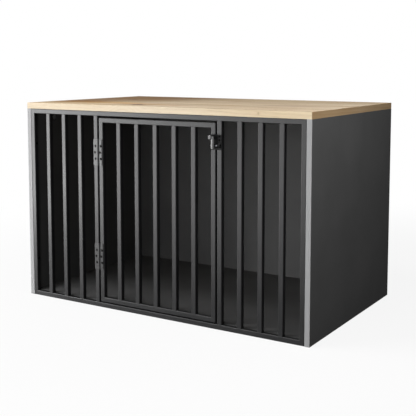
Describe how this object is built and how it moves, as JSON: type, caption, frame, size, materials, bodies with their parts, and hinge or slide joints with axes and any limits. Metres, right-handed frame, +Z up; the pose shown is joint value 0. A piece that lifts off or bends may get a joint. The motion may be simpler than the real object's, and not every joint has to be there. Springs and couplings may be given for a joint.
{
  "type": "furniture pet crate",
  "caption": "Furniture-style pet crate: dark board cabinet with an oak top, a welded barred front and a hinged barred door with a slide bolt.",
  "frame": {"origin": "centre of the cabinet's base, on the floor it stands on", "axes": "+X to the right seen from the front, +Y to the back, +Z up; the barred front and the door face -Y"},
  "size_m": [1, 0.6173, 0.627],
  "materials": {
    "graphite_board": "matte melamine",
    "oak_board": "oak decor, matte",
    "edge_band": "light grey edge band, satin",
    "black_paint": "satin powder coat",
    "dark_steel": "black zinc",
    "latch_black": "black, semi-gloss",
    "zinc": "die-cast zinc",
    "beech": "raw beech"
  },
  "bodies": {
    "cabinet": {"side_panel_left": "graphite_board", "side_panel_right": "graphite_board", "back_panel": "graphite_board", "floor_board": "graphite_board", "top_board": "oak_board", "edge_band_left": "edge_band", "edge_band_right": "edge_band", "frame_bottom_rail": "black_paint", "frame_top_rail": "black_paint", "frame_stile_left": "black_paint", "frame_stile_right": "black_paint", "door_post_left": "black_paint", "door_post_right": "black_paint", "frame_bar_1": "black_paint", "frame_bar_2": "black_paint", "frame_bar_3": "black_paint", "frame_bar_4": "black_paint", "frame_bar_5": "black_paint", "frame_bar_6": "black_paint", "frame_screws": "dark_steel", "hinge_upper_frame_leaf": "black_paint", "hinge_lower_frame_leaf": "black_paint", "hinge_upper_pin": "dark_steel", "hinge_lower_pin": "dark_steel", "hinge_frame_screws": "dark_steel", "latch_keeper": "latch_black", "keeper_screws": "dark_steel", "cam_locks": "zinc", "cam_bolts": "zinc", "wood_dowels": "beech"},
    "door": {"door_bottom_rail": "black_paint", "door_top_rail": "black_paint", "door_hinge_stile": "black_paint", "door_latch_stile": "black_paint", "door_bar_1": "black_paint", "door_bar_2": "black_paint", "door_bar_3": "black_paint", "door_bar_4": "black_paint", "door_bar_5": "black_paint", "hinge_upper_door_leaf": "black_paint", "hinge_lower_door_leaf": "black_paint", "hinge_door_screws": "dark_steel", "latch_base": "latch_black", "latch_screws": "dark_steel"},
    "latch_bolt": {"latch_bolt": "latch_black", "latch_handle": "latch_black"}
  },
  "joints": [
    {"name": "door_swing", "type": "hinge", "parent": "cabinet", "child": "door", "pos_m": [-0.21, -0.3026, 0.3], "axis": [0, 0, -1], "range_deg": [0, 175]},
    {"name": "bolt_slide", "type": "slide", "parent": "door", "child": "latch_bolt", "axis": [1, 0, 0], "range_m": [0, 0.0085]}
  ]
}
